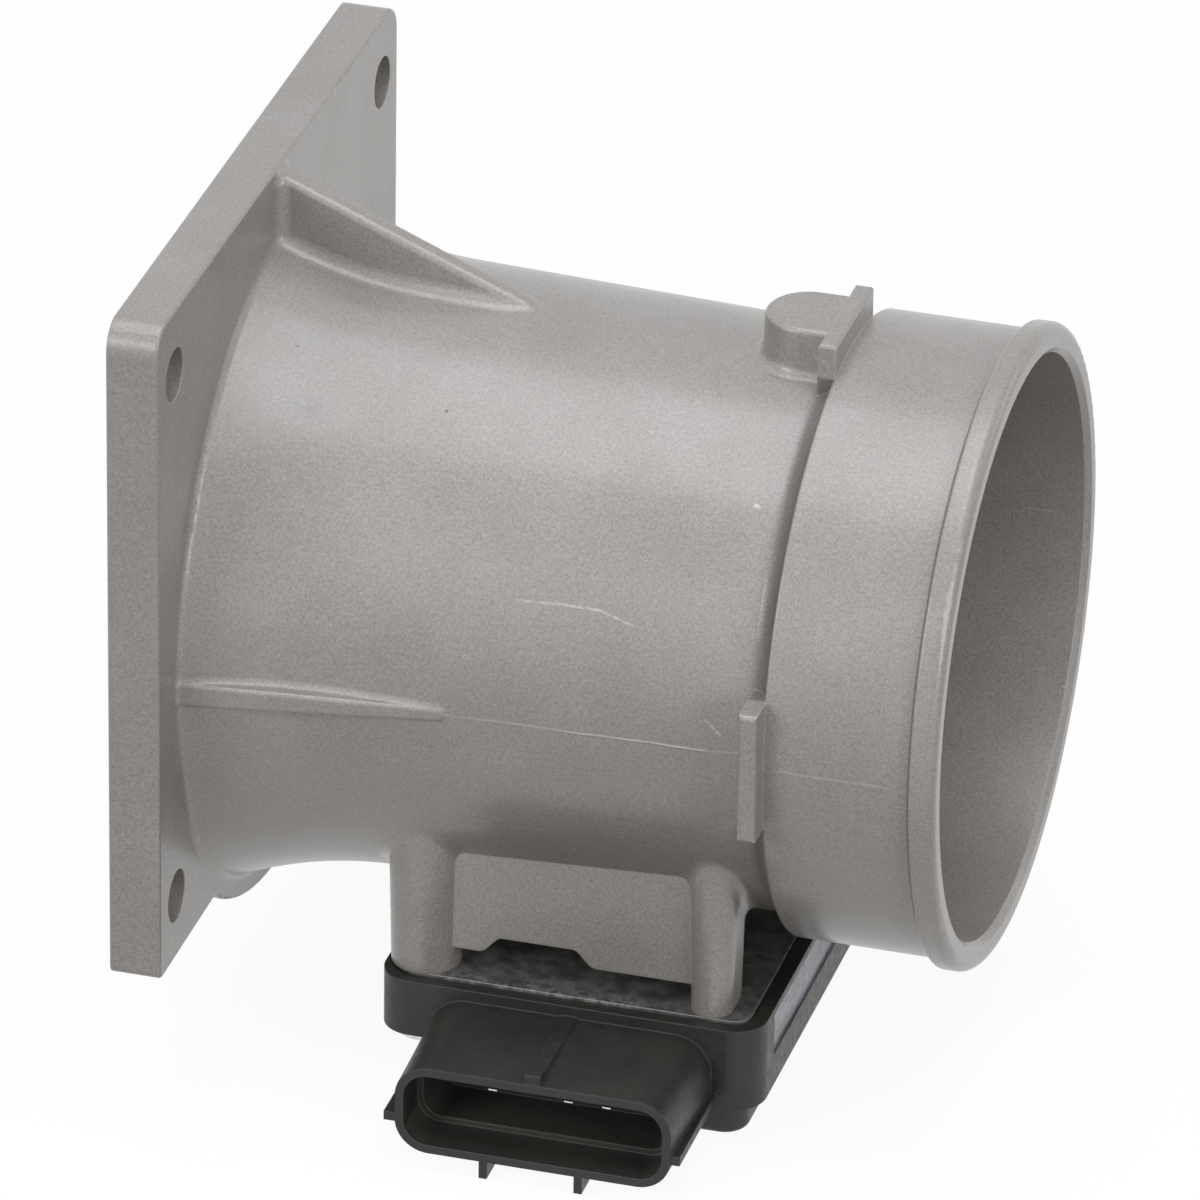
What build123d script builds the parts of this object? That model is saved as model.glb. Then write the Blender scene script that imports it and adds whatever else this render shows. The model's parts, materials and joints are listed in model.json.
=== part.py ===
from build123d import *
import math
import os

# Mass airflow sensor: a cast aluminium flow tube with a four-hole flange, carrying an
# electronics module under it. X runs along the bore from the flange's mating face to
# the hose end, +Z is up and the plug socket faces -Y. The origin is the bore's centre
# on the mating face. Sizes are in millimetres.

# Flow tube, outside
tube_length = 108.7
neck_start_x = 28.6
neck_start_r = 40.7
neck_end_r = 38.95
sleeve_start_x = 85.3
sleeve_r = 42.0
shoulder_fillet = 2.6
shoulder_edge_r = 0.3
bead_r = 43.3
bead_width = 3.5
bead_back_r = 0.4
bead_end_r = 1.5
bell_root_r = 45.6
bell_root_fillet = 1.4

# Flow tube, inside
bore_r = 36.8
bore_start_x = 44.0
mouth_r = 39.3
mouth_chamfer = 0.8
inlet_r = 43.4
screen_seat_r = 45.6
screen_seat_depth = 3.0

# Flange
flange_width = 105.0
flange_height = 95.5
flange_thick = 7.0
flange_rise = 8.3
flange_top_corner_r = 4.0
flange_low_corner_r = 1.2
flange_edge_r = 0.5
flange_back_edge = 0.15
lobe_r = 48.8
bolt_inset_y = 7.0
bolt_inset_z = 9.25
bolt_hole_d = 7.3
bolt_span_y = flange_width - 2 * bolt_inset_y
bolt_span_z = flange_height - 2 * bolt_inset_z

# Gussets between the flange and the tube
gusset_root_thick = 3.4
top_gusset_tip_thick = 3.0
top_gusset_z = 55.2
top_gusset_edge_r = 1.0
side_gusset_tip_thick = 1.8
side_gusset_y = 45.8
side_gusset_edge_r = 0.5
gusset_end_x = 42.0
gusset_end_z = 40.7
top_gusset_foot_r = 2.0
side_gusset_foot_r = 0.9

# Hose stops and the top boss
stop_thick = 2.5
stop_span = 18.6
stop_reach = 45.4
stop_edge_r = 0.6
boss_r = 6.1
boss_x = 79.4
boss_draft = 1.5
boss_edge_r = 0.7
boss_foot_r = 1.5

# Posts and webs that carry the module
plate_top_z = -43.4
module_half_y = 35.4
post_inset = 6.4
post_limit_y = 29.0
post_y = min(module_half_y - post_inset, post_limit_y)
round_post_x = 36.5
round_post_r = 4.7
slot_post_x = 76.4
slot_post_y = post_y - 0.3
slot_post_width = 5.6
slot_post_length = 9.4
post_draft = 1.2
post_top_z = -14.0
post_foot_r = 2.0
web_thick = 3.0
web_y = post_y + 0.7
web_bottom_z = -40.0
web_notch_rise = 2.4
web_notch_x = 52.4
web_notch_width = 10.6
web_notch_slope = 2.2

# Probe socket under the tube
probe_x = 57.8
socket_r = 13.0
socket_bore_r = 10.2
socket_gap = 0.4

# Module frame
frame_x0 = 31.4
frame_x1 = 84.1
frame_corner_r = 4.5
frame_top_z = -43.8
ear_bottom_z = -52.0
box_x0 = 43.0
box_bottom_z = -55.7
frame_wall = 4.5
cavity_inset_y = 16.1
cavity_half_y = module_half_y - cavity_inset_y
cavity_corner_r = 2.0
side_panel_depth = 0.3
side_panel_top_z = -44.9
side_panel_bottom_z = -51.0
side_panel_inset_y = 7.9
foot_x0 = 68.6
foot_x1 = 82.1
foot_length = 12.5
foot_inset = 0.4
foot_drop = 4.2
foot_corner_r = 3.5
foot_edge_r = 0.9

# Base plate and lid
plate_x0 = 33.6
plate_x1 = 81.9
plate_inset_y = 2.0
plate_half_y = module_half_y - plate_inset_y
plate_corner_r = 2.6
plate_thick = 1.2
lid_thick = 1.6
lid_lip = 1.5
lid_lip_wall = 1.2
lid_overlap = 2.2
fit_gap = 0.15

# Plug socket on the module frame
socket_x = 58.3
socket_width = 37.7
socket_height = 12.8
socket_mid_z = -52.4
socket_reach = 17.6
socket_mouth_y = -module_half_y - socket_reach
socket_draft = 1.6
socket_corner_r = 4.6
socket_wall = 1.2
socket_step = 0.9
socket_step_depth = 6.4
socket_back_wall = 3.1
rail_z = -54.2
rail_thick = 1.3
rail_setback = 0.3
rail_left_reach = 1.6
rail_left_length = 5.4
rail_left_run_out = 2.4
rail_right_reach = 1.2
latch_offset = -0.2
latch_rib_width = 2.2
latch_rib_rise = 0.7
latch_nub_rise = 0.5
latch_nub_length = 1.8
keel_thick = 1.1
keel_drop = 2.7
keel_offset = -0.3
keel_span = 13.0
keel_length = 9.0

# Terminals and leads
pin_row_x = 58.6
pin_pitch = 5.2
pin_slots = 6
pin_places = (2, 4, 5)
pin_width = 1.2
pin_thick = 0.64
pin_setback = 7.0
pin_mid_z = -51.9
pin_tail = 2.0
lead_width = 1.0
lead_thick = 0.3

# Circuit board and its parts
board_x = 63.5
board_y = 1.0
board_length = 30.0
board_inset_y = 2.3
board_width = 2 * (cavity_half_y - board_inset_y)
board_thick = 0.8
chip_size = 9.0
chip_thick = 1.5
chip_offset = (5.0, 6.0)
transistor_length = 10.0
transistor_width = 7.0
transistor_thick = 2.2
transistor_offset = (-7.0, 9.0)
capacitor_length = 3.2
capacitor_width = 1.8
capacitor_thick = 1.6
capacitor_offset = (4.0, -5.0)
capacitor_pitch = 3.4
capacitor_count = 3

# Probe and its elements
probe_length = 13.0
probe_width = 8.4
probe_top_z = 8.0
probe_base_r = 10.0
probe_base_height = 4.8
probe_spigot_r = 6.6
bypass_hole_d = 6.4
seal_minor_r = 0.9
seal_z = -41.0
element_r = 0.4
element_length = 3.6
element_spacing = 5.0
prong_r = 0.28
prong_hole_r = 0.33

# Module screws
screw_head_r = 4.0
screw_head_height = 2.2
screw_shank_r = 1.9
screw_hole_r = 2.2
screw_grip = 9.0
socket_depth = 1.3
socket_drive_width = 3.0

# Inlet screen and its ring
screen_ring_thick = 1.5
screen_ring_width = 2.0
wire_thick = 0.6
wire_pitch = 5.5
ring_groove_depth = 0.8
ring_wire = 0.9
ring_gap_angle = 24.0

screw_places = [
    (x, side * post_y) for x in (round_post_x, slot_post_x) for side in (-1, 1)
]
panel_half_y = module_half_y - side_panel_inset_y
socket_back_y = -module_half_y - socket_back_wall
pin_tip_y = socket_mouth_y + pin_setback
cavity_x0 = box_x0 + frame_wall
cavity_x1 = frame_x1 - frame_wall
plate_bottom_z = plate_top_z - plate_thick
board_top_z = plate_bottom_z
board_bottom_z = board_top_z - board_thick
pin_xs = [pin_row_x + (place - (pin_slots + 1) / 2) * pin_pitch for place in pin_places]


def box_between(x0, x1, y0, y1, z0, z1):
    """A box given by its six bounds."""
    centre = ((x0 + x1) / 2, (y0 + y1) / 2, (z0 + z1) / 2)
    return Pos(*centre) * Box(x1 - x0, y1 - y0, z1 - z0)


def rounded_plate(x0, x1, half_y, radius, z0, z1):
    """An upright rounded rectangle, symmetric about y = 0."""
    outline = RectangleRounded(x1 - x0, 2 * half_y, radius)
    return extrude(Pos((x0 + x1) / 2, 0, z0) * outline, z1 - z0)


def post_cylinder(x, y, radius, z0, z1):
    """A vertical cylinder between two heights."""
    return Pos(x, y, (z0 + z1) / 2) * Cylinder(radius, z1 - z0)


def outer_profile():
    """The outside of the tube in the XY plane, where y is the radius."""
    bead_x = tube_length - bead_width
    lip_r = mouth_r + mouth_chamfer
    slope = (neck_start_r - neck_end_r) / (sleeve_start_x - neck_start_x)
    lobe = Polyline((0, 0), (0, lobe_r), (flange_thick, lobe_r), (flange_thick, bell_root_r))
    flare = TangentArc((neck_start_x, neck_start_r), (flange_thick, bell_root_r), tangent=(-1, slope))
    neck = FilletPolyline(
        (neck_start_x, neck_start_r),
        (sleeve_start_x, neck_end_r),
        (sleeve_start_x, sleeve_r),
        (bead_x, sleeve_r),
        (bead_x, bead_r),
        (tube_length, bead_r),
        (tube_length, lip_r),
        radius=[shoulder_fillet, shoulder_edge_r, bead_back_r, bead_back_r, bead_end_r],
    )
    closing = Polyline((tube_length, lip_r), (tube_length, 0), (0, 0))
    profile = make_face([lobe, flare, neck, closing])
    root = profile.vertices().sort_by_distance((flange_thick, bell_root_r, 0))[0]
    profile = fillet(root, bell_root_fillet)
    rim = profile.vertices().sort_by_distance((flange_thick, lobe_r, 0))[0]
    return fillet(rim, flange_edge_r)


def bore_profile():
    """The inside of the tube, from the screen seat to the chamfered mouth."""
    ring_top = screen_seat_depth - screen_ring_thick
    groove_x = ring_top - ring_wire - fit_gap
    converge = TangentArc(
        (bore_start_x, bore_r), (screen_seat_depth, inlet_r), tangent=(-1, 0)
    )
    seat = Polyline(
        (screen_seat_depth, inlet_r),
        (screen_seat_depth, screen_seat_r),
        (ring_top, screen_seat_r),
        (ring_top, screen_seat_r + ring_groove_depth),
        (groove_x, screen_seat_r + ring_groove_depth),
        (groove_x, screen_seat_r),
        (0, screen_seat_r),
        (0, 0),
        (tube_length, 0),
        (tube_length, mouth_r + mouth_chamfer),
        (tube_length - mouth_chamfer, mouth_r),
        (sleeve_start_x, bore_r),
        (bore_start_x, bore_r),
    )
    return make_face([converge, seat])


def revolved(profile):
    """A solid of revolution about the X axis."""
    return revolve(profile, axis=Axis.X)


def flange():
    """The mounting flange: large upper corners, small lower ones and eased edges."""
    outline = Rectangle(flange_width, flange_height)
    outline = fillet(outline.vertices().group_by(Axis.Y)[-1], flange_top_corner_r)
    outline = fillet(outline.vertices().group_by(Axis.Y)[0], flange_low_corner_r)
    plate = extrude(Plane.YZ * Pos(0, flange_rise) * outline, flange_thick)
    plate = fillet(plate.faces().sort_by(Axis.X)[-1].edges(), flange_edge_r)
    return chamfer(plate.faces().sort_by(Axis.X)[0].edges(), flange_back_edge)


def flange_holes():
    """The four bolt holes."""
    holes = Part()
    for y in (-bolt_span_y / 2, bolt_span_y / 2):
        for z in (-bolt_span_z / 2, bolt_span_z / 2):
            place = Pos(flange_thick / 2, y, flange_rise + z) * Rot(0, 90, 0)
            holes += place * Cylinder(bolt_hole_d / 2, 2 * flange_thick)
    return holes


def gusset(height, tip_thick, edge_r):
    """A triangular rib on the +Z side that thins from the flange to a rounded tip."""
    root_z = neck_start_r - 3.0
    outline = Polyline(
        (flange_thick / 2, height), (flange_thick, height), (gusset_end_x, gusset_end_z),
        (gusset_end_x, root_z), (flange_thick / 2, root_z), close=True,
    )
    rib = extrude(Plane.XZ * make_face(outline), gusset_root_thick, both=True)
    plan = Polyline(
        (0, -gusset_root_thick / 2), (flange_thick, -gusset_root_thick / 2),
        (gusset_end_x, -tip_thick / 2), (gusset_end_x, tip_thick / 2),
        (flange_thick, gusset_root_thick / 2), (0, gusset_root_thick / 2), close=True,
    )
    rib &= Pos(0, 0, root_z) * extrude(make_face(plan), height)
    tip = rib.edges().filter_by(Axis.Z).group_by(Axis.X)[-1]
    rib = fillet(tip, tip_thick / 2 - 0.15)
    slope = rib.faces().filter_by(lambda face: face.normal_at().X > 0.1 and face.normal_at().Z > 0.1)
    crest = [edge for edge in slope[0].edges() if edge.center().X > flange_thick + 0.1]
    return fillet(crest, edge_r)


def hose_stop():
    """A straight bar across the shoulder that stops the hose, on the +Z side."""
    x1 = sleeve_start_x + 0.2
    low = bore_r * math.cos(math.asin(stop_span / 2 / bore_r)) + 1.0
    bar = box_between(x1 - stop_thick, x1, -stop_span / 2, stop_span / 2, low, stop_reach)
    return fillet(bar.edges().group_by(Axis.Z)[-1], stop_edge_r)


def top_boss():
    """The D-shaped boss that runs into the top hose stop, level with its top."""
    end_x = sleeve_start_x - stop_thick / 2
    nose = ThreePointArc((boss_x, boss_r), (boss_x - boss_r, 0), (boss_x, -boss_r))
    sides = Polyline((boss_x, -boss_r), (end_x, -boss_r), (end_x, boss_r), (boss_x, boss_r))
    low = neck_end_r - 2.0
    body = extrude(Pos(0, 0, low) * make_face([nose, sides]), stop_reach - low, taper=boss_draft)
    return fillet(body.faces().sort_by(Axis.Z)[-1].edges(), boss_edge_r)


def posts():
    """Four drafted posts: round at the flange end, slot-shaped at the hose end."""
    height = post_top_z - plate_top_z
    group = Part()
    for side in (-1, 1):
        round_face = Pos(round_post_x, side * post_y, plate_top_z) * Circle(round_post_r)
        slot = Rot(0, 0, 90) * SlotOverall(slot_post_length, slot_post_width)
        slot_face = Pos(slot_post_x, side * slot_post_y, plate_top_z) * slot
        group += extrude(round_face, height, taper=-post_draft)
        group += extrude(slot_face, height, taper=-post_draft)
    return group


def webs():
    """The walls between the posts, each with a shallow notch in its lower edge."""
    notch_z = web_bottom_z + web_notch_rise
    left = web_notch_x - web_notch_width / 2
    right = web_notch_x + web_notch_width / 2
    outline = FilletPolyline(
        (round_post_x, post_top_z), (round_post_x, web_bottom_z),
        (left - web_notch_slope, web_bottom_z), (left, notch_z),
        (right, notch_z), (right + web_notch_slope, web_bottom_z),
        (slot_post_x, web_bottom_z), (slot_post_x, post_top_z),
        radius=[0, 0, 1.5, 1.2, 1.2, 1.5, 0, 0], close=True,
    )
    group = Part()
    for side in (-1, 1):
        wall = extrude(Plane.XZ * make_face(outline), web_thick / 2, both=True)
        group += Pos(0, side * web_y, 0) * wall
    return group


def socket_cut():
    """The bored hole for the probe, from the pad into the flow bore."""
    shoulder_z = seal_z + probe_base_height / 2
    base = post_cylinder(probe_x, 0, socket_bore_r, plate_top_z - 1, shoulder_z)
    return base + post_cylinder(probe_x, 0, socket_bore_r - 1.2, shoulder_z, -bore_r / 2)


def screw_pilots():
    """Blind holes in the posts for the module screws."""
    holes = Part()
    for x, y in screw_places:
        holes += post_cylinder(x, y, screw_shank_r, plate_top_z - 1, plate_top_z + screw_grip + 1)
    return holes


def blended(body, addition, radius, keep=None):
    """Unite two solids and round the edges where they meet."""
    joined = body + addition
    edges = new_edges(body, addition, combined=joined)
    if keep:
        edges = edges.filter_by(keep)
    return fillet(edges, radius)


def beside_boss(edge):
    """True for the edges round the foot of the top boss."""
    middle = edge.center()
    return middle.X < sleeve_start_x - stop_thick and middle.Z < stop_reach - 1


def cast_housing():
    """The one-piece casting."""
    body = revolved(outer_profile()) + flange()
    top_rib = gusset(top_gusset_z, top_gusset_tip_thick, top_gusset_edge_r)
    body = blended(body, top_rib, top_gusset_foot_r)
    side_rib = gusset(side_gusset_y, side_gusset_tip_thick, side_gusset_edge_r)
    for turn in (-90, 90):
        body = blended(body, Rot(turn, 0, 0) * side_rib, side_gusset_foot_r)
    body = blended(body + hose_stop(), top_boss(), boss_foot_r, beside_boss)
    body = blended(body, posts(), post_foot_r)
    body += webs()
    for turn in (-90, 90):
        body += Rot(turn, 0, 0) * hose_stop()
    body += post_cylinder(probe_x, 0, socket_r, plate_top_z + socket_gap, -bore_r)
    body -= revolved(bore_profile())
    body -= socket_cut()
    body -= screw_pilots()
    return body - flange_holes()


def socket_rails():
    """The side rails: a short one that runs out on the left, a full one on the right."""
    front = socket_mouth_y + rail_setback
    left = socket_x - socket_width / 2
    right = socket_x + socket_width / 2
    short = Polyline(
        (left + 1, front), (left - rail_left_reach, front),
        (left - rail_left_reach, front + rail_left_length),
        (left + 1, front + rail_left_length + rail_left_run_out), close=True,
    )
    half = rail_thick / 2
    rail = Pos(0, 0, rail_z - half) * extrude(make_face(short), rail_thick)
    return rail + box_between(right - 1, right + rail_right_reach, front, -module_half_y + 1,
                              rail_z - half, rail_z + half)


def socket_body():
    """The drafted shroud of the plug socket with its rails, rib, nub and keels."""
    depth = -module_half_y - socket_mouth_y
    mouth = Plane.XZ.offset(-socket_mouth_y) * Pos(socket_x, socket_mid_z)
    outline = RectangleRounded(socket_width, socket_height, socket_corner_r)
    body = extrude(mouth * outline, -depth - 1, taper=-socket_draft) + socket_rails()
    top_z = socket_mid_z + socket_height / 2
    front = socket_mouth_y + 0.4
    half = latch_rib_width / 2
    latch_x = socket_x + latch_offset
    body += box_between(latch_x - half, latch_x + half, front, -module_half_y + 1,
                        top_z - 2, top_z + latch_rib_rise)
    body += box_between(latch_x - half, latch_x + half, front, front + latch_nub_length,
                        top_z - 2, top_z + latch_rib_rise + latch_nub_rise)
    low_z = socket_mid_z - socket_height / 2
    for side in (-1, 1):
        x = socket_x + keel_offset + side * keel_span / 2
        body += box_between(x - keel_thick / 2, x + keel_thick / 2, socket_mouth_y + rail_setback,
                            socket_mouth_y + keel_length, low_z - keel_drop, low_z + 2)
    return body


def socket_cavity():
    """The stepped hollow that takes the plug."""
    cut = Part()
    step_y = socket_mouth_y + socket_step_depth
    steps = ((socket_wall, socket_mouth_y - 1, step_y),
             (socket_wall + socket_step, step_y - 1, socket_back_y))
    for inset, y0, y1 in steps:
        outline = RectangleRounded(socket_width - 2 * inset, socket_height - 2 * inset,
                                   socket_corner_r - inset)
        start = Plane.XZ.offset(-y1) * Pos(socket_x, socket_mid_z)
        cut += extrude(start * outline, y1 - y0)
    return cut


def pin_hole(x):
    """The slot moulded round one terminal."""
    return box_between(x - pin_width / 2, x + pin_width / 2, socket_back_y - 1,
                       -cavity_half_y + 1, pin_mid_z - pin_thick / 2, pin_mid_z + pin_thick / 2)


def module_frame():
    """The moulded frame with its ears, feet, side panel and plug socket."""
    body = rounded_plate(frame_x0, frame_x1, module_half_y, frame_corner_r,
                         ear_bottom_z, frame_top_z)
    body += rounded_plate(box_x0, frame_x1, module_half_y, frame_corner_r,
                          box_bottom_z, ear_bottom_z)
    for side in (-1, 1):
        mid_y = side * (module_half_y - foot_inset - foot_length / 2)
        outline = RectangleRounded(foot_x1 - foot_x0, foot_length, foot_corner_r)
        place = Pos((foot_x0 + foot_x1) / 2, mid_y, box_bottom_z - foot_drop)
        foot = extrude(place * outline, foot_drop)
        body += fillet(foot.faces().sort_by(Axis.Z)[0].edges(), foot_edge_r)
    body += socket_body()
    body -= rounded_plate(plate_x0 - fit_gap, plate_x1 + fit_gap, plate_half_y + fit_gap,
                          plate_corner_r + fit_gap, plate_bottom_z, frame_top_z + 1)
    body -= rounded_plate(cavity_x0, cavity_x1, cavity_half_y, cavity_corner_r,
                          box_bottom_z - 1, plate_bottom_z + 1)
    body -= socket_cavity()
    body -= box_between(frame_x1 - side_panel_depth, frame_x1 + 1, -panel_half_y, panel_half_y,
                        side_panel_bottom_z, side_panel_top_z)
    for x in pin_xs:
        body -= pin_hole(x)
    for x, y in screw_places:
        body -= post_cylinder(x, y, screw_hole_r, box_bottom_z - foot_drop - 1, frame_top_z + 1)
        body -= post_cylinder(x, y, screw_head_r + 2 * fit_gap,
                              box_bottom_z - foot_drop - 1, ear_bottom_z)
    return body


def base_plate():
    """The metal plate that closes the module's top and carries the board."""
    body = rounded_plate(plate_x0, plate_x1, plate_half_y, plate_corner_r,
                         plate_bottom_z, plate_top_z)
    body -= post_cylinder(probe_x, 0, probe_spigot_r + fit_gap, plate_bottom_z - 1, plate_top_z + 1)
    for x, y in screw_places:
        body -= post_cylinder(x, y, screw_hole_r, plate_bottom_z - 1, plate_top_z + 1)
    return body


def module_lid():
    """The flat lid under the board, with a lip that drops into the frame."""
    body = rounded_plate(cavity_x0 - lid_overlap, cavity_x1 + lid_overlap,
                         cavity_half_y + lid_overlap, cavity_corner_r + lid_overlap,
                         box_bottom_z - lid_thick, box_bottom_z)
    outer = rounded_plate(cavity_x0 + fit_gap, cavity_x1 - fit_gap, cavity_half_y - fit_gap,
                          cavity_corner_r - fit_gap, box_bottom_z, box_bottom_z + lid_lip)
    inner = rounded_plate(cavity_x0 + lid_lip_wall, cavity_x1 - lid_lip_wall,
                          cavity_half_y - lid_lip_wall, cavity_corner_r - lid_lip_wall,
                          box_bottom_z, box_bottom_z + lid_lip)
    rim = fillet(body.faces().sort_by(Axis.Z)[0].edges(), 0.5)
    return rim + (outer - inner)


def module_screw(x, y):
    """A cheese-head screw with a hexagon socket, driven up into a post."""
    head = post_cylinder(x, y, screw_head_r, ear_bottom_z - screw_head_height, ear_bottom_z)
    head = fillet(head.edges().sort_by(Axis.Z)[0], 0.4)
    shank = post_cylinder(x, y, screw_shank_r, ear_bottom_z, plate_top_z + screw_grip)
    drive = RegularPolygon(socket_drive_width / 2, 6, major_radius=False)
    place = Pos(x, y, ear_bottom_z - screw_head_height)
    return head + shank - extrude(place * drive, socket_depth)


def terminal_pin(x):
    """A flat blade with a bevelled tip, moulded through the frame."""
    half = pin_thick / 2
    tail_y = -cavity_half_y + pin_tail
    outline = Polyline(
        (pin_tip_y, -half * 0.4), (pin_tip_y + 0.8, -half), (tail_y, -half),
        (tail_y, half), (pin_tip_y + 0.8, half), (pin_tip_y, half * 0.4), close=True,
    )
    blade = extrude(Plane.YZ * make_face(outline), pin_width / 2, both=True)
    return Pos(x, 0, pin_mid_z) * blade


def lead_strip(x):
    """A bent strip from the back of a terminal up to the board."""
    start_y = -cavity_half_y + pin_tail - lead_width
    rise_y = board_y - board_width / 2 + 1.4
    low_z = pin_mid_z + pin_thick / 2
    path = FilletPolyline(
        (start_y, low_z), (rise_y, low_z), (rise_y, board_bottom_z - lead_thick),
        (rise_y + lead_width, board_bottom_z - lead_thick),
        (rise_y + lead_width, board_bottom_z), (rise_y - lead_thick, board_bottom_z),
        (rise_y - lead_thick, low_z + lead_thick), (start_y, low_z + lead_thick),
        radius=0, close=True,
    )
    return Pos(x, 0, 0) * extrude(Plane.YZ * make_face(path), lead_width / 2, both=True)


def board_part(offset, length, width, thick, edge):
    """A block that hangs under the board, with its lower edges eased."""
    x = board_x + offset[0]
    y = board_y + offset[1]
    block = box_between(x - length / 2, x + length / 2, y - width / 2, y + width / 2,
                        board_bottom_z - thick, board_bottom_z)
    return chamfer(block.faces().sort_by(Axis.Z)[0].edges(), edge)


def circuit_board():
    """The ceramic board, bonded to the underside of the plate."""
    return box_between(board_x - board_length / 2, board_x + board_length / 2,
                       board_y - board_width / 2, board_y + board_width / 2,
                       board_bottom_z, board_top_z)


def element_places():
    """Centre positions of the heated and the reference element along the flow."""
    return [probe_x - element_spacing / 2, probe_x + element_spacing / 2]


def prong_places():
    """The four support prongs, two to each element."""
    reach = element_length / 2 + prong_r
    return [(x, side * reach) for x in element_places() for side in (-1, 1)]


def probe_body():
    """The moulded probe: a round sealed base and a tower with the bypass hole."""
    base_top = seal_z + probe_base_height / 2 - fit_gap
    body = post_cylinder(probe_x, 0, probe_base_r, plate_top_z, base_top)
    body += post_cylinder(probe_x, 0, probe_spigot_r, plate_bottom_z, plate_top_z)
    tower = extrude(Pos(probe_x, 0, base_top) * SlotOverall(probe_length, probe_width),
                    probe_top_z - base_top)
    body += fillet(tower.faces().sort_by(Axis.Z)[-1].edges(), 1.2)
    groove = Pos(probe_x, 0, seal_z) * (
        Cylinder(probe_base_r + 1, 2 * seal_minor_r + 0.2)
        - Cylinder(socket_bore_r - 2 * seal_minor_r - 0.05, 2 * seal_minor_r + 0.2))
    body -= groove
    bypass = Pos(probe_x, 0, 0) * Rot(0, 90, 0) * Cylinder(bypass_hole_d / 2, 2 * probe_length)
    body -= bypass
    for x, y in prong_places():
        body -= post_cylinder(x, y, prong_hole_r, plate_bottom_z - 1, 0)
    return body


def element(x):
    """A small wound bobbin that lies across the flow between its prongs."""
    return Pos(x, 0, 0) * Rot(90, 0, 0) * Cylinder(element_r, element_length)


def element_prong(x, y):
    """A fine wire from the board up to the end of an element."""
    return post_cylinder(x, y, prong_r, board_top_z, element_r)


def probe_seal():
    """The O-ring in the probe's base."""
    ring_r = socket_bore_r - seal_minor_r
    return Pos(probe_x, 0, seal_z) * Torus(ring_r, seal_minor_r)


def inlet_screen():
    """A frame ring with two crossed layers of wire."""
    outer_r = screen_seat_r - fit_gap
    inner_r = outer_r - screen_ring_width
    mid_x = screen_seat_depth - screen_ring_thick / 2
    turn = Rot(0, 90, 0)
    ring = Cylinder(outer_r, screen_ring_thick) - Cylinder(inner_r, screen_ring_thick)
    body = Pos(mid_x, 0, 0) * turn * ring
    count = int(inner_r / wire_pitch)
    for index in range(-count, count + 1):
        across = index * wire_pitch
        if abs(across) > inner_r - 1.0:
            continue
        half = math.sqrt(inner_r ** 2 - across ** 2) + screen_ring_width / 2
        half = min(half, math.sqrt(outer_r ** 2 - across ** 2) - 0.3)
        near = mid_x - 0.05
        far = mid_x + 0.05
        body += box_between(near - wire_thick, near, across - wire_thick / 2,
                            across + wire_thick / 2, -half, half)
        body += box_between(far, far + wire_thick, -half, half,
                            across - wire_thick / 2, across + wire_thick / 2)
    return body


def retaining_ring():
    """The split wire ring that holds the screen in its seat."""
    outer_r = screen_seat_r + ring_groove_depth - fit_gap
    inner_r = screen_seat_r - ring_wire
    mid_x = screen_seat_depth - screen_ring_thick - ring_wire / 2
    band = Cylinder(outer_r, ring_wire) - Cylinder(inner_r, ring_wire)
    gap = 2 * outer_r * math.sin(math.radians(ring_gap_angle / 2))
    slot = Pos(outer_r, 0, 0) * Box(outer_r, gap, 2 * ring_wire)
    return Pos(mid_x, 0, 0) * Rot(0, 90, 0) * (band - slot)


def all_parts():
    """Every node's name and solid."""
    nodes = {
        "cast_housing": cast_housing(),
        "inlet_screen": inlet_screen(),
        "screen_retaining_ring": retaining_ring(),
        "module_frame": module_frame(),
        "base_plate": base_plate(),
        "module_lid": module_lid(),
        "circuit_board": circuit_board(),
        "control_chip": board_part(chip_offset, chip_size, chip_size, chip_thick, 0.3),
        "power_transistor": board_part(transistor_offset, transistor_width,
                                       transistor_length, transistor_thick, 0.4),
        "probe_body": probe_body(),
        "probe_seal": probe_seal(),
    }
    for index in range(capacitor_count):
        offset = (capacitor_offset[0] + (index - 1) * capacitor_pitch, capacitor_offset[1])
        nodes[f"capacitor_{index + 1}"] = board_part(
            offset, capacitor_width, capacitor_length, capacitor_thick, 0.2)
    for index, x in enumerate(pin_xs):
        nodes[f"terminal_pin_{index + 1}"] = terminal_pin(x)
        nodes[f"lead_strip_{index + 1}"] = lead_strip(x)
    for name, x in zip(("heated_element", "reference_element"), element_places()):
        nodes[name] = element(x)
    for index, (x, y) in enumerate(prong_places()):
        nodes[f"element_prong_{index + 1}"] = element_prong(x, y)
    for index, (x, y) in enumerate(screw_places):
        nodes[f"module_screw_{index + 1}"] = module_screw(x, y)
    return nodes


def main():
    """Write one STEP file for each node."""
    os.makedirs("parts", exist_ok=True)
    for name, solid in all_parts().items():
        export_step(solid, f"parts/{name}.step")


main()
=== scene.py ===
import json
import math

import bmesh
import bpy
from mathutils import Matrix, Vector


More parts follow.
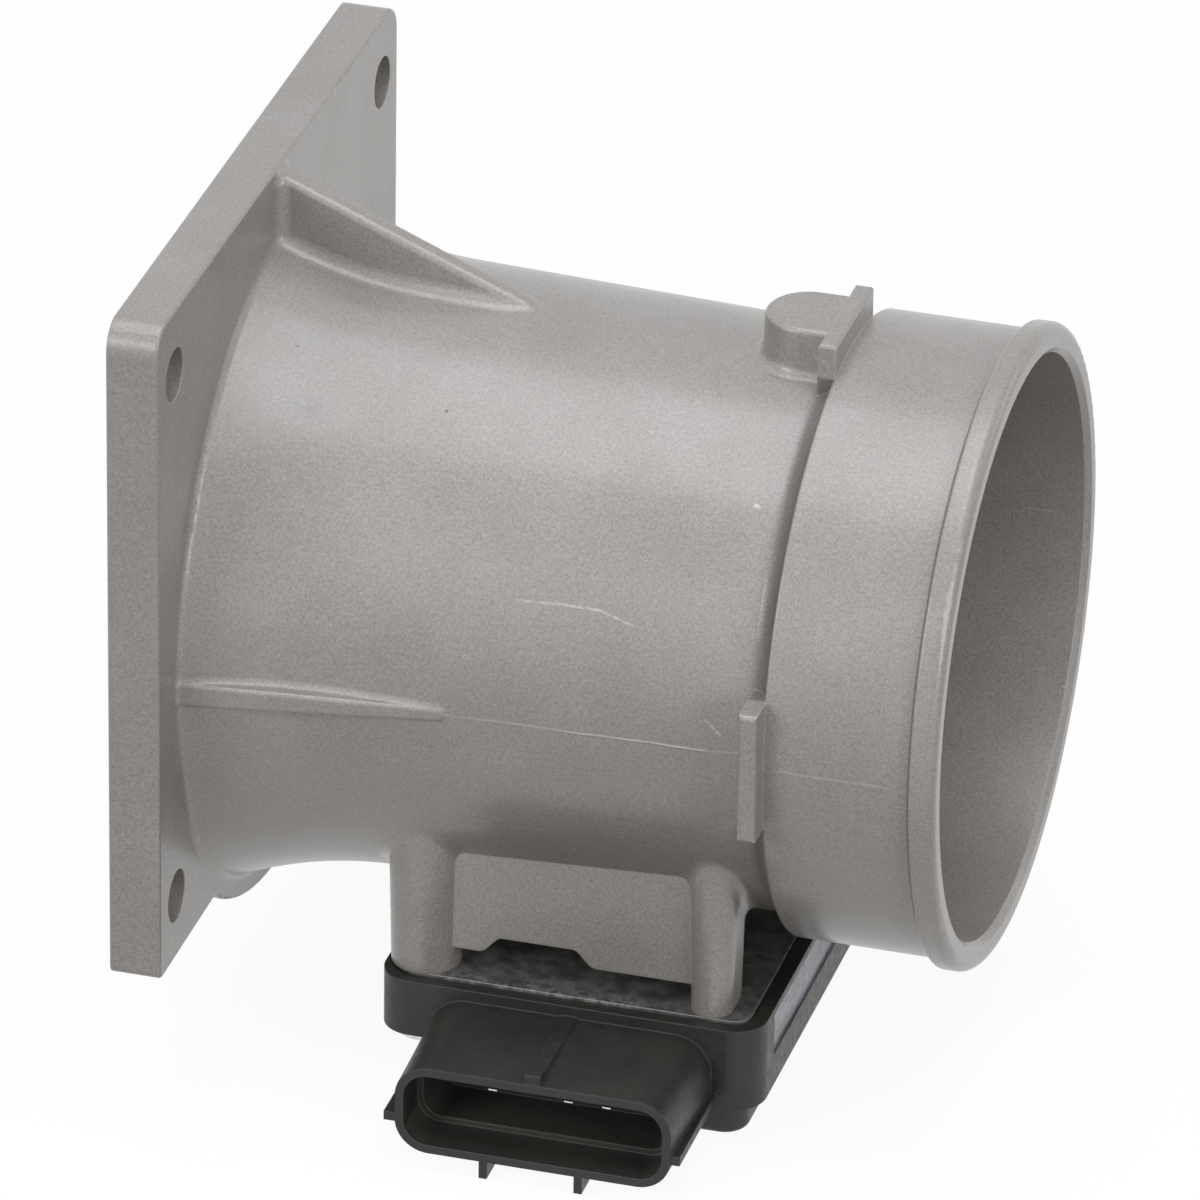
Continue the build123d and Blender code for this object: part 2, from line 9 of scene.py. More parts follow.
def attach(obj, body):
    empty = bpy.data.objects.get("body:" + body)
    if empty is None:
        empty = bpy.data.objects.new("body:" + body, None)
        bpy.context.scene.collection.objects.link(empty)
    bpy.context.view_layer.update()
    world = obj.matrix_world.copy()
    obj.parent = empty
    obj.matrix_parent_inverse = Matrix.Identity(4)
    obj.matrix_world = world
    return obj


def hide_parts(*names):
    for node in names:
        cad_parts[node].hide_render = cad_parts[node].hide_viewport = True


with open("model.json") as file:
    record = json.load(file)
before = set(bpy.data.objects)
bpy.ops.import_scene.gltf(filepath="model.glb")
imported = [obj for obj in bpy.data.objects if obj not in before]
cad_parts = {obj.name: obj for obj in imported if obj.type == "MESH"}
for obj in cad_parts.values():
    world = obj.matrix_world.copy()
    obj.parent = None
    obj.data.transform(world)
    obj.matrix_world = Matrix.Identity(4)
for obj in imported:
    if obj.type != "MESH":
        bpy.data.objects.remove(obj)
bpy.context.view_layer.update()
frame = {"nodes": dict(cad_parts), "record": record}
MM = 0.001


# Casting finish

CAST_LOW = (0.357, 0.333, 0.309)
CAST_HIGH = (0.387, 0.364, 0.343)
# Lighter cast edges: partly wear and partly a painted highlight
WORN_LIT_EDGE_COLOUR = (0.64, 0.62, 0.59)
WORN_LIT_EDGE_SHARE = 0.55
CAST_METALLIC = 0.25
CAST_ROUGH = 0.5
CAST_ROUGH_SPREAD = 0.04
CAST_COAT = 0.65
CAST_SPECULAR = 0.2
CAST_RELIEF = 0.04
COAT_ROUGH = 0.21


# Shader helpers

BEVEL_SAMPLES = 6
BUMP_STRENGTH = 1.0
# Cosines between the true and the bevelled normal on an open face and on a sharp edge
OPEN_FACE, SHARP_EDGE = 0.995, 0.90
# A stroke counts distance along Y, the depth into a side wall, for a tenth
STROKE_FLAT = (1.0, 0.1, 1.0)
STROKE_CORE = 0.15
SPOT_GRAIN = 0.8
SPOT_RAGGED = 0.9


class Shader:
    """Builds one node material with short calls."""

    def __init__(self, name):
        self.material = bpy.data.materials.new(name)
        self.material.use_nodes = True
        self.tree = self.material.node_tree
        self.tree.nodes.clear()
        self.out = self.node("ShaderNodeOutputMaterial")
        self.coords = self.node("ShaderNodeTexCoord").outputs["Object"]
        split = self.node("ShaderNodeSeparateXYZ")
        self.link(self.coords, split.inputs[0])
        self.place = split.outputs

    def node(self, kind, **settings):
        made = self.tree.nodes.new(kind)
        for key, value in settings.items():
            setattr(made, key, value)
        return made

    def link(self, source, target):
        """Sets a socket to a number or a colour, or links another socket to it."""
        if isinstance(source, (int, float)):
            target.default_value = source
        elif isinstance(source, (tuple, list)):
            values = tuple(source)
            size = len(target.default_value)
            target.default_value = values + (1.0,) * (size - len(values))
        else:
            self.tree.links.new(source, target)

    def math(self, operation, a, b=0.0, c=0.0, clamp=False):
        made = self.node("ShaderNodeMath", operation=operation, use_clamp=clamp)
        for value, socket in zip((a, b, c), made.inputs):
            self.link(value, socket)
        return made.outputs[0]

    def times(self, first, *others):
        """The product of two or more numbers."""
        for other in others:
            first = self.math("MULTIPLY", first, other)
        return first

    def vector(self, operation, a, b):
        made = self.node("ShaderNodeVectorMath", operation=operation)
        self.link(a, made.inputs[0])
        self.link(b, made.inputs[1])
        number = operation in ("DOT_PRODUCT", "DISTANCE")
        return made.outputs["Value" if number else "Vector"]

    def noise(self, size_mm, detail=2.0, rough=0.5, stretch=None, seed=0.0):
        """Noise whose features are about size_mm wide, from 0 to 1."""
        mapping = self.node("ShaderNodeMapping")
        self.link(self.coords, mapping.inputs["Vector"])
        self.link((seed, seed * 0.7, seed * 1.3), mapping.inputs["Location"])
        if stretch:
            self.link(stretch, mapping.inputs["Scale"])
        made = self.node("ShaderNodeTexNoise")
        self.link(mapping.outputs[0], made.inputs["Vector"])
        made.inputs["Scale"].default_value = 1.0 / (size_mm * MM)
        made.inputs["Detail"].default_value = detail
        made.inputs["Roughness"].default_value = rough
        return made.outputs["Fac"]

    def ramp(self, fac, low, high, a=0.0, b=1.0):
        """Maps fac from low..high to a..b, smoothly and clamped."""
        made = self.node("ShaderNodeMapRange", interpolation_type="SMOOTHSTEP")
        for value, socket in zip((fac, low, high, a, b), made.inputs):
            self.link(value, socket)
        return made.outputs[0]

    def mix(self, fac, a, b):
        """Mixes two colours, which a Mix node holds in its sockets 6 and 7."""
        made = self.node("ShaderNodeMix", data_type="RGBA")
        self.link(fac, made.inputs[0])
        self.link(a, made.inputs[6])
        self.link(b, made.inputs[7])
        return made.outputs[2]

    def scale(self, colour, factor):
        """A colour or a vector in a socket times a number."""
        made = self.node("ShaderNodeVectorMath", operation="SCALE")
        self.link(colour, made.inputs[0])
        self.link(factor, made.inputs["Scale"])
        return made.outputs[0]

    def bevel(self, radius_mm):
        made = self.node("ShaderNodeBevel", samples=BEVEL_SAMPLES)
        made.inputs["Radius"].default_value = radius_mm * MM
        return made.outputs[0]

    def bump(self, height, depth_mm, normal):
        made = self.node("ShaderNodeBump")
        made.inputs["Strength"].default_value = BUMP_STRENGTH
        made.inputs["Distance"].default_value = depth_mm * MM
        self.link(height, made.inputs["Height"])
        self.link(normal, made.inputs["Normal"])
        return made.outputs[0]

    def edge(self, bevelled):
        """About 1 on sharp edges and 0 on open faces."""
        geometry = self.node("ShaderNodeNewGeometry")
        flat = self.vector("DOT_PRODUCT", bevelled, geometry.outputs["Normal"])
        return self.ramp(flat, OPEN_FACE, SHARP_EDGE)

    def between(self, place, low_mm, high_mm, soft_mm=0.15):
        """1 where a length in metres lies between two values and 0 outside them."""
        rise = self.ramp(place, (low_mm - soft_mm) * MM, (low_mm + soft_mm) * MM)
        fall = self.ramp(place, (high_mm - soft_mm) * MM, (high_mm + soft_mm) * MM, 1.0, 0.0)
        return self.times(rise, fall)

    def within(self, axis, low_mm, high_mm, soft_mm=0.15):
        """1 between two places along an axis and 0 outside them."""
        return self.between(self.place[axis], low_mm, high_mm, soft_mm)

    def region(self, first, *others):
        """1 inside a box and 0 outside it, from one row of within's values for each axis."""
        share = self.within(*first)
        for span in others:
            share = self.times(share, self.within(*span))
        return share

    def stroke(self, points_mm, width_mm):
        """1 on a line of marks on a side wall and 0 beside it."""
        reach = None
        for start, end in zip(points_mm, points_mm[1:]):
            along = (Vector(end) - Vector(start)) * Vector(STROKE_FLAT) * MM
            local = self.vector("SUBTRACT", self.coords, tuple(Vector(start) * MM))
            local = self.vector("MULTIPLY", local, STROKE_FLAT)
            share = self.vector("DOT_PRODUCT", local, tuple(along / along.length_squared))
            share = self.math("MULTIPLY", share, 1.0, clamp=True)
            gap = self.vector("DISTANCE", local, self.scale(tuple(along), share))
            reach = gap if reach is None else self.math("MINIMUM", reach, gap)
        return self.ramp(reach, width_mm * 0.5 * MM, width_mm * STROKE_CORE * MM)

    def spot(self, centre_mm, radius_mm, soft=0.5):
        """1 near a point and 0 beyond a radius from it, with a ragged rim."""
        gap = self.vector("DISTANCE", self.coords, tuple(Vector(centre_mm) * MM))
        ragged = self.noise(radius_mm * SPOT_GRAIN, 1.0, 0.5, seed=radius_mm)
        gap = self.math("MULTIPLY_ADD", ragged, radius_mm * SPOT_RAGGED * MM, gap)
        return self.ramp(gap, radius_mm * MM, radius_mm * (1.0 - soft) * MM)

    def finish(self, colour, metal, rough, normal, coat=0.0, specular=0.5):
        surface = self.node("ShaderNodeBsdfPrincipled")
        self.link(colour, surface.inputs["Base Color"])
        self.link(metal, surface.inputs["Metallic"])
        self.link(rough, surface.inputs["Roughness"])
        self.link(specular, surface.inputs["Specular IOR Level"])
        self.link(coat, surface.inputs["Coat Weight"])
        self.link(COAT_ROUGH, surface.inputs["Coat Roughness"])
        self.link(normal, surface.inputs["Normal"])
        self.tree.links.new(surface.outputs[0], self.out.inputs["Surface"])
        return self.material


# Marks on the casting, in millimetres

# Painted shade in two corners: span and softness along X, the same from the axis, and how much it
# darkens.
# The first is the corner before the hose sleeve and the second is behind the bead.
CORNER_PAINTED_SHADE = [
    ((82.9, 85.5, 0.9), (38.2, 41.7, 0.2), 0.42),
    ((104.8, 105.25, 0.12), (41.5, 43.6, 0.1), 0.45),
]
SEAM_TUBE = (42.0, 82.4)
SEAM_SLEEVE = (87.0, 104.0)
SEAM_SLEEVE_SHARE = 0.35
SEAM_FADE = (40.0, 75.0)
SEAM_Y = (38.4, 60.0)
SEAM_HALF_WIDTH = 0.16
SEAM_WANDER = 0.35
MARK_BRIGHT = (0.80, 0.79, 0.77)
MARK_DARK = (0.10, 0.10, 0.10)
# Scratches: points and width
SCRATCHES = [
    ([(50.3, -36.5, 16.4), (56.3, -36.2, 16.6), (61.7, -36.1, 16.5), (66.2, -36.5, 15.2)], 0.45),
    ([(76.9, -39.0, 4.3), (78.9, -39.1, 2.5)], 0.5),
]
SCRATCH_SHARE = 0.6
# Nicks: centre, radius and strength
NICKS = [((79.6, -25.7, 29.5), 1.05, 0.8), ((18.0, -24.6, 34.2), 0.7, 0.3)]
# Other spots: centre and radius
SPECKS = [((36.4, -21.4, 34.4), 0.62), ((15.0, -18.0, 38.9), 0.55)]
SMUDGE = ((19.0, -25.0, 33.5), 5.0)
SCUFF = ((7.6, 24.0, 56.0), 5.0)
RUMPLE = ((76.0, -32.0, -24.5), 9.0)
RUMPLE_RELIEF = 3.0
SEAM_RELIEF = 2.5


def corner_shade(s):
    """Painted shade in two corners of the casting: 1 is unshaded and lower is darker."""
    square = [s.times(s.place[axis], s.place[axis]) for axis in ("Y", "Z")]
    radius = s.math("SQRT", s.math("ADD", *square))
    corners = []
    for along, out, dark in CORNER_PAINTED_SHADE:
        corners.append(s.times(s.within("X", *along), s.between(radius, *out), dark))
    return s.math("SUBTRACT", 1.0, s.math("MAXIMUM", *corners))


def parting_line(s):
    """The fine seam at half height that the two halves of the mould leave on both sides."""
    side = s.math("ABSOLUTE", s.place["Y"])
    outer = s.between(side, *SEAM_Y, 0.1)
    tube = s.within("X", *SEAM_TUBE, 1.0)
    sleeve = s.times(s.within("X", *SEAM_SLEEVE, 1.0), SEAM_SLEEVE_SHARE)
    run = s.math("ADD", tube, sleeve)
    start, end = SEAM_FADE
    fade = s.ramp(s.place["X"], start * MM, end * MM, 0.35, 1.0)
    broken = s.ramp(s.noise(5.0, 3.0, 0.65, seed=21.0), 0.36, 0.56, 0.25, 1.0)
    wander = s.math("MULTIPLY_ADD", s.noise(9.0, 2.0, 0.5, seed=17.0),
                    2 * SEAM_WANDER * MM, -SEAM_WANDER * MM)
    height = s.math("ADD", s.place["Z"], wander)
    line = s.between(height, -SEAM_HALF_WIDTH, SEAM_HALF_WIDTH, 0.12)
    return s.times(line, outer, run, fade, broken)


def cast_metal():
    """Blasted, tumbled aluminium with lighter edges that are partly wear and partly a painted
    highlight, painted shade in two corners, and a few marks of use.
    """
    s = Shader("cast_aluminium")
    grain = s.noise(0.34, 2.0, 0.7)
    speck = s.noise(0.6, 1.0, 0.5, seed=3.0)
    peel = s.noise(1.1, 2.0, 0.5, seed=5.0)
    cloud = s.noise(14.0, 3.0, 0.55, seed=9.0)
    colour = s.mix(s.ramp(cloud, 0.3, 0.7), CAST_LOW, CAST_HIGH)
    colour = s.mix(s.ramp(grain, 0.2, 0.8), s.scale(colour, 0.80), s.scale(colour, 1.20))
    colour = s.mix(s.ramp(speck, 0.68, 0.80, 0.0, 0.5), colour, s.scale(colour, 1.3))
    smudge = s.times(s.spot(*SMUDGE, 0.8), s.ramp(peel, 0.35, 0.6, 0.3, 0.8))
    colour = s.mix(smudge, colour, s.scale(colour, 0.65))
    bevelled = s.bevel(0.35)
    # Lighter edges: partly wear and partly a painted highlight
    colour = s.mix(s.times(s.edge(bevelled), WORN_LIT_EDGE_SHARE), colour, WORN_LIT_EDGE_COLOUR)
    # Painted shade in the corner before the hose sleeve and in the line behind the bead
    unshaded = corner_shade(s)
    colour = s.scale(colour, unshaded)

    seam = parting_line(s)
    bright = s.times(seam, 0.5)
    broken = s.ramp(s.noise(0.8, 2.0, 0.6, seed=31.0), 0.35, 0.6, 0.15, 0.8)
    for points, width in SCRATCHES:
        line = s.times(s.stroke(points, width), broken, SCRATCH_SHARE)
        bright = s.math("MAXIMUM", bright, line)
    for centre, radius, share in NICKS:
        bright = s.math("MAXIMUM", bright, s.times(s.spot(centre, radius), share))
    scuff = s.times(s.spot(*SCUFF, 0.7), s.ramp(speck, 0.5, 0.66, 0.0, 0.6))
    bright = s.math("MAXIMUM", bright, scuff)
    colour = s.mix(bright, colour, MARK_BRIGHT)
    for centre, radius in SPECKS:
        colour = s.mix(s.spot(centre, radius), colour, MARK_DARK)

    height = s.math("ADD", s.times(grain, 0.6), s.times(peel, 0.5))
    skin = s.noise(1.3, 1.0, 0.4, stretch=(1, 1, 0.6), seed=13.0)
    rumple = s.times(s.spot(*RUMPLE, 0.6), skin)
    height = s.math("MULTIPLY_ADD", rumple, RUMPLE_RELIEF, height)
    height = s.math("MULTIPLY_ADD", seam, SEAM_RELIEF, height)
    normal = s.bump(height, CAST_RELIEF, bevelled)
    rough = s.ramp(grain, 0.2, 0.8, CAST_ROUGH - CAST_ROUGH_SPREAD, CAST_ROUGH + CAST_ROUGH_SPREAD)
    # The coat fades where the corner shade is painted, which takes away its reflection there
    coat = s.ramp(unshaded, 0.6, 1.0, 0.0, CAST_COAT)
    return s.finish(colour, CAST_METALLIC, rough, normal, coat=coat, specular=CAST_SPECULAR)


# Fields of the module and its plate, in millimetres

# The smooth field on the frame's +X wall, which carries a painted streaked blue-grey reflection
SIDE_PANEL = [("Y", -27.4, 27.4), ("Z", -51.0, -44.9), ("X", 83.6, 85.0, 0.05)]
PANEL_REFLECTION_DARK = (0.09, 0.10, 0.125)
PANEL_REFLECTION_LIGHT = (0.34, 0.37, 0.45)
PANEL_SMOOTHER = 0.16
# The inside of the plug socket, lightened with painted light
SOCKET_INSIDE = [("X", 40.8, 75.8), ("Z", -57.6, -47.2), ("Y", -52.6, -36.0)]
SOCKET_PAINTED_LIGHT = 2.0
# Lighter plastic edges: partly wear and partly a painted highlight
PLASTIC_WORN_LIT_EDGE = 2.4
PLASTIC_WORN_LIT_SHARE = 0.35
PLATE_DARK = (0.115, 0.115, 0.110)
PLATE_LIGHT = (0.23, 0.23, 0.22)
PLATE_SPECK = (0.3, 0.3, 0.29)
PLATE_SCUFF = (0.5, 0.5, 0.48)
# The plate's bright rim: partly bare cut metal and partly a painted highlight
PLATE_WORN_LIT_RIM = (0.62, 0.61, 0.58)
PLATE_WORN_LIT_SHARE = 0.5
METAL_SPREAD = 0.15
# The scuffed strip along the plate's front
PLATE_FRONT = [("Y", -36.0, -31.5, 1.5), ("X", 40.0, 68.0, 6.0)]


def scaled(colour, factor):
    """A written colour times a number."""
    return tuple(c * factor for c in colour)


def moulded(name, colour, rough, grain_mm=0.2, depth=0.012, spread=0.25, fields=False):
    """Moulded plastic with a fine sparked texture and lighter edges, partly wear and partly a
    painted highlight.

    fields adds painted light inside the plug socket and a painted streaked reflection on the side
    panel of the module's frame.
    """
    s = Shader(name)
    grain = s.noise(grain_mm, 2.0, 0.6)
    flow = s.noise(9.0, 2.0, 0.5, seed=4.0)
    low, high = scaled(colour, 1 - spread), scaled(colour, 1 + spread)
    shade = s.mix(s.ramp(flow, 0.3, 0.7), low, high)
    bevelled = s.bevel(0.3)
    if fields:
        # Painted light inside the plug socket, which lies in shade
        shade = s.mix(s.region(*SOCKET_INSIDE), shade, scaled(colour, SOCKET_PAINTED_LIGHT))
    # Lighter edges: partly wear and partly a painted highlight
    worn = s.times(s.edge(bevelled), PLASTIC_WORN_LIT_SHARE)
    shade = s.mix(worn, shade, scaled(colour, PLASTIC_WORN_LIT_EDGE))
    roughness = s.ramp(s.noise(1.2, 2.0, 0.6, seed=2.0), 0.3, 0.7, rough - 0.06, rough + 0.06)
    if fields:
        panel = s.region(*SIDE_PANEL)
        # A painted streaked blue-grey reflection on the side panel
        streak = s.noise(1.6, 3.0, 0.6, stretch=(1, 0.08, 1), seed=7.0)
        panel_reflection = s.mix(s.ramp(streak, 0.38, 0.62), PANEL_REFLECTION_DARK, PANEL_REFLECTION_LIGHT)
        shade = s.mix(panel, shade, panel_reflection)
        roughness = s.math("MULTIPLY_ADD", panel, -PANEL_SMOOTHER, roughness)
    return s.finish(shade, 0.0, roughness, s.bump(grain, depth, bevelled))


def plain_metal(name, colour, rough, size_mm=0.5, stretch=None):
    """Bare metal with fine drawn or tumbled marks."""
    s = Shader(name)
    marks = s.noise(size_mm, 2.0, 0.6, stretch=stretch)
    low = scaled(colour, 1 - METAL_SPREAD)
    high = tuple(min(1.0, c) for c in scaled(colour, 1 + METAL_SPREAD))
    shade = s.mix(s.ramp(marks, 0.3, 0.7), low, high)
    roughness = s.ramp(marks, 0.3, 0.7, rough - 0.07, rough + 0.07)
    return s.finish(shade, 1.0, roughness, s.bump(marks, 0.01, s.bevel(0.15)))


def plate_metal():
    """Dulled plate: dark and mottled, scuffed along its front, with a bright rim that is partly
    bare cut metal and partly a painted highlight.
    """
    s = Shader("plate_metal")
    blot = s.noise(2.4, 3.0, 0.6)
    fine = s.noise(0.35, 2.0, 0.6, seed=2.0)
    shade = s.mix(s.ramp(blot, 0.35, 0.65), PLATE_DARK, PLATE_LIGHT)
    front = s.region(*PLATE_FRONT)
    worn = s.times(front, s.ramp(s.noise(0.9, 3.0, 0.7, seed=6.0), 0.46, 0.62))
    shade = s.mix(s.times(worn, 0.6), shade, PLATE_SCUFF)
    shade = s.mix(s.ramp(fine, 0.62, 0.75, 0.0, 0.4), shade, PLATE_SPECK)
    bevelled = s.bevel(0.2)
    # The rim is lightened: partly bare cut metal and partly a painted highlight
    shade = s.mix(s.times(s.edge(bevelled), PLATE_WORN_LIT_SHARE), shade, PLATE_WORN_LIT_RIM)
    rough = s.ramp(blot, 0.3, 0.7, 0.38, 0.55)
    return s.finish(shade, 0.35, rough, s.bump(fine, 0.01, bevelled))


# Colour, roughness, and where they differ grain, depth, spread and fields
PLASTICS = {
    "black_plastic": ((0.0265, 0.026, 0.0225), 0.46, 0.2, 0.012, 0.25, True),
    "lid_plastic": ((0.028, 0.027, 0.026), 0.55),
    "probe_plastic": ((0.045, 0.043, 0.040), 0.5),
    "chip_resin": ((0.03, 0.03, 0.03), 0.6),
    "seal_rubber": ((0.018, 0.018, 0.018), 0.65, 0.4),
    "board_ceramic": ((0.06, 0.16, 0.09), 0.35, 0.6, 0.004, 0.12),
    "capacitor_body": ((0.32, 0.22, 0.12), 0.4, 0.3, 0.004, 0.12),
    "element_glaze": ((0.62, 0.64, 0.58), 0.25, 0.15, 0.004, 0.08),
}
# Colour, roughness, size of the marks, and how they are stretched
METALS = {
    "screen_steel": ((0.62, 0.61, 0.59), 0.35, 0.3),
    "spring_steel": ((0.42, 0.41, 0.40), 0.38, 0.4),
    "terminal_tin": ((0.78, 0.77, 0.74), 0.28, 0.4, (1, 0.15, 1)),
    "screw_steel": ((0.66, 0.66, 0.65), 0.32, 0.5),
}

materials = {"cast_aluminium": cast_metal()}
for slot, values in PLASTICS.items():
    materials[slot] = moulded(slot, *values)
materials["plate_metal"] = plate_metal()
for slot, values in METALS.items():
    materials[slot] = plain_metal(slot, *values)

for part in frame["record"]["subparts"]:
    node = frame["nodes"][part["node"]]
    node.data.materials.clear()
    node.data.materials.append(materials[part["material_slot"]])


# Woven inlet screen, in millimetres

SCREEN_X = 2.25
SCREEN_HALF_THICK = 0.74
SCREEN_RIM_OUT = 45.42
SCREEN_RIM_IN = 43.46
SCREEN_RIM_EDGE = 0.2
SCREEN_PITCH = 2.75
SCREEN_WIRE_R = 0.17
WIRE_TUCK = 0.6
WEAVE_MARGIN = 1.0
WIRE_SIDES = 6
STEPS_PER_PITCH = 4
RIM_STEPS = 96


def add_ring(mesh, points):
    """A closed loop of vertices in the bmesh."""
    return [mesh.verts.new(Vector(point) * MM) for point in points]


def join_rings(mesh, first, second):
    """Side faces between two loops of the same length."""
    count = len(first)
    for index in range(count):
        after = (index + 1) % count
        mesh.faces.new((first[index], first[after], second[after], second[index]))


def add_wire(mesh, across, upright, phase):
    """One wire of the weave, from rim to rim, over and under the wires that cross it."""
    half = math.sqrt((SCREEN_RIM_IN + WIRE_TUCK) ** 2 - across ** 2)
    steps = max(2, int(2 * half / SCREEN_PITCH * STEPS_PER_PITCH))
    before = None
    for step in range(steps + 1):
        along = -half + 2 * half * step / steps
        lift = SCREEN_WIRE_R * math.cos(math.pi * (along / SCREEN_PITCH + phase))
        loop = []
        for side in range(WIRE_SIDES):
            turn = 2 * math.pi * side / WIRE_SIDES
            x = SCREEN_X + lift + SCREEN_WIRE_R * math.cos(turn)
            beside = across + SCREEN_WIRE_R * math.sin(turn)
            loop.append((x, beside, along) if upright else (x, along, beside))
        ring = add_ring(mesh, loop)
        if before is None:
            mesh.faces.new(ring)
        else:
            join_rings(mesh, before, ring)
        before = ring
    mesh.faces.new(before)


def add_rim(mesh):
    """The flat rim that holds the wire ends, with broken edges."""
    half, edge = SCREEN_HALF_THICK, SCREEN_RIM_EDGE
    section = []
    for radius, sign in ((SCREEN_RIM_OUT, 1), (SCREEN_RIM_IN, -1)):
        inner = radius - sign * edge
        corners = [(-half, inner), (edge - half, radius), (half - edge, radius), (half, inner)]
        section += corners[::sign]
    rings = []
    for step in range(RIM_STEPS):
        turn = 2 * math.pi * step / RIM_STEPS
        loop = [(SCREEN_X + x, r * math.cos(turn), r * math.sin(turn)) for x, r in section]
        rings.append(add_ring(mesh, loop))
    for index, ring in enumerate(rings):
        join_rings(mesh, ring, rings[(index + 1) % RIM_STEPS])


def add_screen():
    mesh = bmesh.new()
    add_rim(mesh)
    count = int((SCREEN_RIM_IN - WEAVE_MARGIN) / SCREEN_PITCH)
    for index in range(-count, count + 1):
        add_wire(mesh, index * SCREEN_PITCH, True, index)
        add_wire(mesh, index * SCREEN_PITCH, False, index + 1)
    bmesh.ops.recalc_face_normals(mesh, faces=mesh.faces)
    data = bpy.data.meshes.new("woven_screen")
    mesh.to_mesh(data)
    mesh.free()
    for face in data.polygons:
        face.use_smooth = True
    screen = bpy.data.objects.new("woven_screen", data)
    bpy.context.scene.collection.objects.link(screen)
    data.materials.append(materials["screen_steel"])
    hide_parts("inlet_screen")
    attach(screen, "root")


add_screen()


# Floor, light and camera

FLOOR_Z = -0.0616
FLOOR_SIZE = 8.0
FLOOR_COLOUR = (0.86, 0.86, 0.86)
# Share of the floor that takes light and shadow, and how bright the rest of it is seen
FLOOR_KEEP = 0.12
FLOOR_WHITE = 1.06
WORLD_LEVEL = 0.03
WORLD_WHITE = 1.0
WHITE = (1.0, 1.0, 1.0)
COOL = (0.96, 0.99, 1.06)
# Name, place, size, power and colour of each lamp, in metres and watts
LAMPS = [
    ("key", (0.24, -0.162, 0.546), (0.34, 0.34), 0.4, COOL),
    ("top", (0.05, 0.0, 0.9), (0.7, 0.7), 3.6, COOL),
    ("left", (-0.45, -0.8, 0.45), (0.4, 0.4), 3.2, WHITE),
    ("right", (0.8, -0.5, 0.3), (0.4, 0.4), 2.3, WHITE),
    ("front", (0.2, -0.95, 0.15), (0.5, 0.4), 0.25, WHITE),
    ("back_right", (0.9, 0.75, 0.3), (0.5, 0.4), 0.7, WHITE),
    ("back_left", (-0.8, 0.7, 0.35), (0.5, 0.4), 0.4, WHITE),
]
LAMP_AIM = (0.05, 0.0, 0.0)

# The camera that was solved from the photograph, in degrees and in millimetres before scaling
CAMERA_AZIMUTH = 15.76
CAMERA_ELEVATION = 28.19
CAMERA_ROLL = 0.87
CAMERA_TARGET = (60.0, 0.0, -10.0)
CAMERA_ASIDE = -5.85
CAMERA_RAISED = 7.68
CAMERA_DISTANCE = 1680.61
CAMERA_SCALE = 0.955
CAMERA_SENSOR = 36.0
CAMERA_LENS = 361.74
CAMERA_CLIP = (0.05, 50.0)


def stage_material(name):
    """White to the camera and in reflections, apart from the share that takes light and shadow."""
    s = Shader(name)
    path = s.node("ShaderNodeLightPath")
    seen = s.math("MAXIMUM", path.outputs["Is Camera Ray"], path.outputs["Is Transmission Ray"])
    seen = s.math("MAXIMUM", seen, path.outputs["Is Glossy Ray"])
    diffuse = s.node("ShaderNodeBsdfDiffuse")
    s.link(FLOOR_COLOUR, diffuse.inputs["Color"])
    glow = s.node("ShaderNodeEmission")
    s.link(WHITE, glow.inputs["Color"])
    s.link(s.times(seen, FLOOR_WHITE), glow.inputs["Strength"])
    mixed = s.node("ShaderNodeMixShader")
    s.link(1.0 - FLOOR_KEEP, mixed.inputs[0])
    s.link(diffuse.outputs[0], mixed.inputs[1])
    s.link(glow.outputs[0], mixed.inputs[2])
    s.link(mixed.outputs[0], s.out.inputs["Surface"])
    return s.material


def add_floor():
    bpy.ops.mesh.primitive_plane_add(size=FLOOR_SIZE, location=(0.05, 0.0, FLOOR_Z))
    floor = bpy.context.object
    floor.name = "floor"
    floor.data.materials.append(stage_material("floor_white"))


def add_lamps():
    for name, place, size, power, colour in LAMPS:
        light = bpy.data.lights.new(name, "AREA")
        light.shape = "RECTANGLE"
        light.size, light.size_y = size
        light.energy = power
        light.color = colour
        lamp = bpy.data.objects.new(name, light)
        bpy.context.scene.collection.objects.link(lamp)
        lamp.location = place
        aim = Vector(LAMP_AIM) - Vector(place)
        lamp.rotation_euler = aim.to_track_quat("-Z", "Y").to_euler()


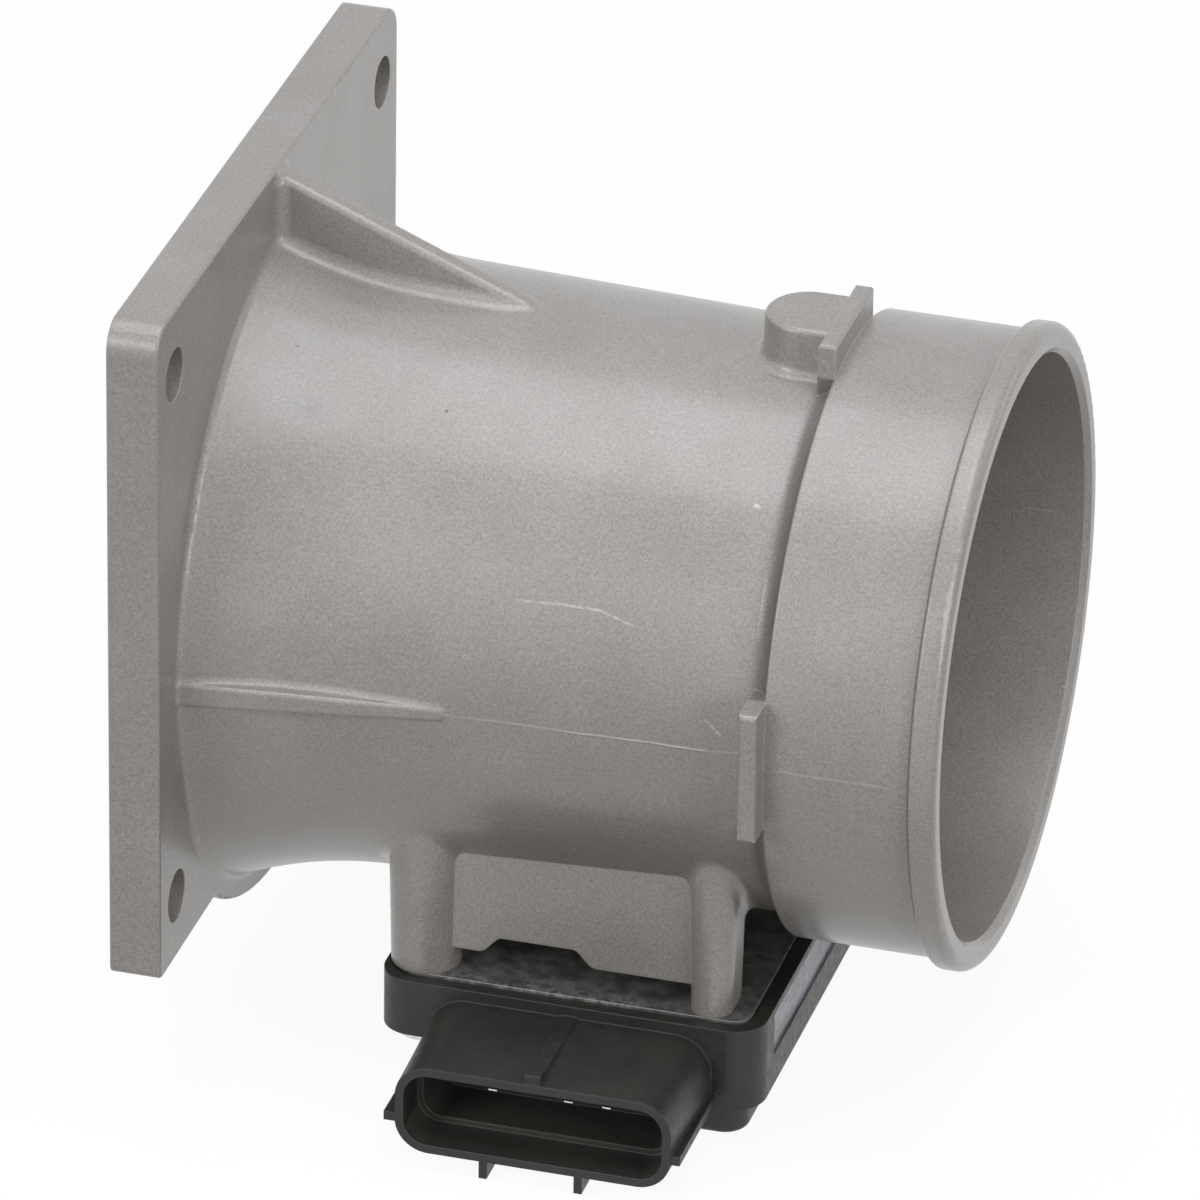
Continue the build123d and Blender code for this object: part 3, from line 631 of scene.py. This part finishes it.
def add_world():
    """A faint light from all round, seen white by the camera and in reflections."""
    world = bpy.data.worlds.new("studio")
    bpy.context.scene.world = world
    world.use_nodes = True
    tree = world.node_tree
    tree.nodes.clear()
    out = tree.nodes.new("ShaderNodeOutputWorld")
    levels = []
    for strength in (WORLD_LEVEL, WORLD_WHITE):
        level = tree.nodes.new("ShaderNodeBackground")
        level.inputs["Color"].default_value = (*WHITE, 1.0)
        level.inputs["Strength"].default_value = strength
        levels.append(level)
    path = tree.nodes.new("ShaderNodeLightPath")
    seen = path.outputs["Is Camera Ray"]
    for kind in ("Is Transmission Ray", "Is Glossy Ray"):
        either = tree.nodes.new("ShaderNodeMath")
        either.operation = "MAXIMUM"
        tree.links.new(seen, either.inputs[0])
        tree.links.new(path.outputs[kind], either.inputs[1])
        seen = either.outputs[0]
    mixed = tree.nodes.new("ShaderNodeMixShader")
    for source, socket in zip((seen, levels[0].outputs[0], levels[1].outputs[0]), mixed.inputs):
        tree.links.new(source, socket)
    tree.links.new(mixed.outputs[0], out.inputs["Surface"])


def add_camera():
    azimuth, elevation, roll = (
        math.radians(angle) for angle in (CAMERA_AZIMUTH, CAMERA_ELEVATION, CAMERA_ROLL))
    back = Vector((math.sin(azimuth) * math.cos(elevation),
                   -math.cos(azimuth) * math.cos(elevation), math.sin(elevation)))
    right = Vector((math.cos(azimuth), math.sin(azimuth), 0.0))
    up = back.cross(right)
    aim = (Vector(CAMERA_TARGET) + right * CAMERA_ASIDE + up * CAMERA_RAISED) * CAMERA_SCALE
    place = aim + back * CAMERA_DISTANCE * CAMERA_SCALE
    side = right * math.cos(roll) + up * math.sin(roll)
    top = -right * math.sin(roll) + up * math.cos(roll)
    data = bpy.data.cameras.new("camera")
    data.sensor_width = CAMERA_SENSOR
    data.lens = CAMERA_LENS
    data.clip_start, data.clip_end = CAMERA_CLIP
    camera = bpy.data.objects.new("camera", data)
    bpy.context.scene.collection.objects.link(camera)
    camera.matrix_world = Matrix((
        (side.x, top.x, back.x, place.x * MM),
        (side.y, top.y, back.y, place.y * MM),
        (side.z, top.z, back.z, place.z * MM),
        (0.0, 0.0, 0.0, 1.0)))
    bpy.context.scene.camera = camera


add_floor()
add_lamps()
add_world()
add_camera()
bpy.context.scene.view_settings.view_transform = "Standard"
